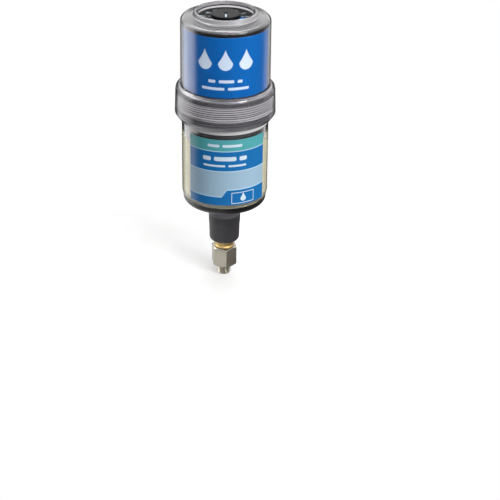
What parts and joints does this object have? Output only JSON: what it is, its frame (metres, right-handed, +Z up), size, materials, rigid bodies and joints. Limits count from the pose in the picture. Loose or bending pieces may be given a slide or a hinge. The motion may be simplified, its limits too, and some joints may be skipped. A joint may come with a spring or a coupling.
{
  "type": "automatic lubricator",
  "caption": "Gas-driven grease lubricator: clear container with follower piston, drive head with setting dial under a clear screw-ring cover, black funnel base, hex outlet adapter",
  "frame": {"origin": "on the axis, at the seat face of the hexagon adapter, where it meets the machine", "axes": "+Z up along the axis, away from the machine; -Y faces the viewer and the labels; +X to the right"},
  "size_m": [0.072, 0.072, 0.2066],
  "materials": {
    "plated_steel": "nickel plated, satin",
    "brass": "turned brass",
    "grey_plastic": "moulded, fine grain",
    "black_plastic": "moulded, glossy",
    "seal_rubber": "smooth",
    "clear_plastic": "clear, polished",
    "clear_ring_plastic": "clear, polished",
    "label_lower": "printed film in bands of teal, blue and pale blue",
    "label_upper": "printed film, blue",
    "grease": "soft, smooth",
    "dark_plastic": "moulded",
    "housing_plastic": "moulded",
    "membrane": "sintered",
    "cell_metal": "drawn can",
    "lead_metal": "nickel strip",
    "holder_plastic": "moulded",
    "battery_metal": "wrapped can",
    "board": "solder mask",
    "chip": "ceramic chip",
    "screw_steel": "zinc plated",
    "scale": "printed plate with plain white numbers",
    "dial_plastic": "moulded"
  },
  "bodies": {
    "lubricator": {"adapter": "plated_steel", "outlet_nipple": "brass", "nozzle": "grey_plastic", "base": "black_plastic", "outlet_seal": "seal_rubber", "container": "clear_plastic", "lower_label": "label_lower", "grease_charge": "grease", "head_body": "housing_plastic", "gas_membrane": "membrane", "head_seal": "seal_rubber", "gas_seal": "seal_rubber", "gas_cell": "cell_metal", "cell_leads": "lead_metal", "cell_holder": "holder_plastic", "contact_strip": "lead_metal", "battery_left": "battery_metal", "battery_right": "battery_metal", "contact_spring_left": "lead_metal", "contact_spring_right": "lead_metal", "circuit_board": "board", "resistors": "chip", "head_lid": "housing_plastic", "lid_screws": "screw_steel", "scale_plate": "scale", "well_seal": "seal_rubber", "cover_gasket": "seal_rubber", "upper_label": "label_upper"},
    "follower": {"piston": "dark_plastic", "piston_seal_lower": "seal_rubber", "piston_seal_upper": "seal_rubber"},
    "setting_dial": {"dial": "dial_plastic", "dial_seal": "seal_rubber", "wiper": "lead_metal"},
    "top_cover": {"cover": "clear_plastic"},
    "screw_ring": {"clamp_ring": "clear_ring_plastic"}
  },
  "joints": [
    {"name": "piston_travel", "type": "slide", "parent": "lubricator", "child": "follower", "axis": [0, 0, -1], "range_m": [0, 0.041], "deforming": ["grease_charge"]},
    {"name": "dial_turn", "type": "hinge", "parent": "lubricator", "child": "setting_dial", "pos_m": [0, 0, 0.1945], "axis": [0, 0, 1], "range_deg": [0, 330]},
    {"name": "cover_lift", "type": "slide", "parent": "lubricator", "child": "top_cover", "axis": [0, 0, 1], "range_m": [0, 0.01126]},
    {"name": "ring_turn", "type": "hinge", "parent": "top_cover", "child": "screw_ring", "pos_m": [0, 0, 0.13], "axis": [0, 0, 1], "range_deg": [0, 1800]}
  ],
  "couplings": [
    {"joint": "cover_lift", "follows": "ring_turn", "m_per_rad": 0.0003581}
  ]
}
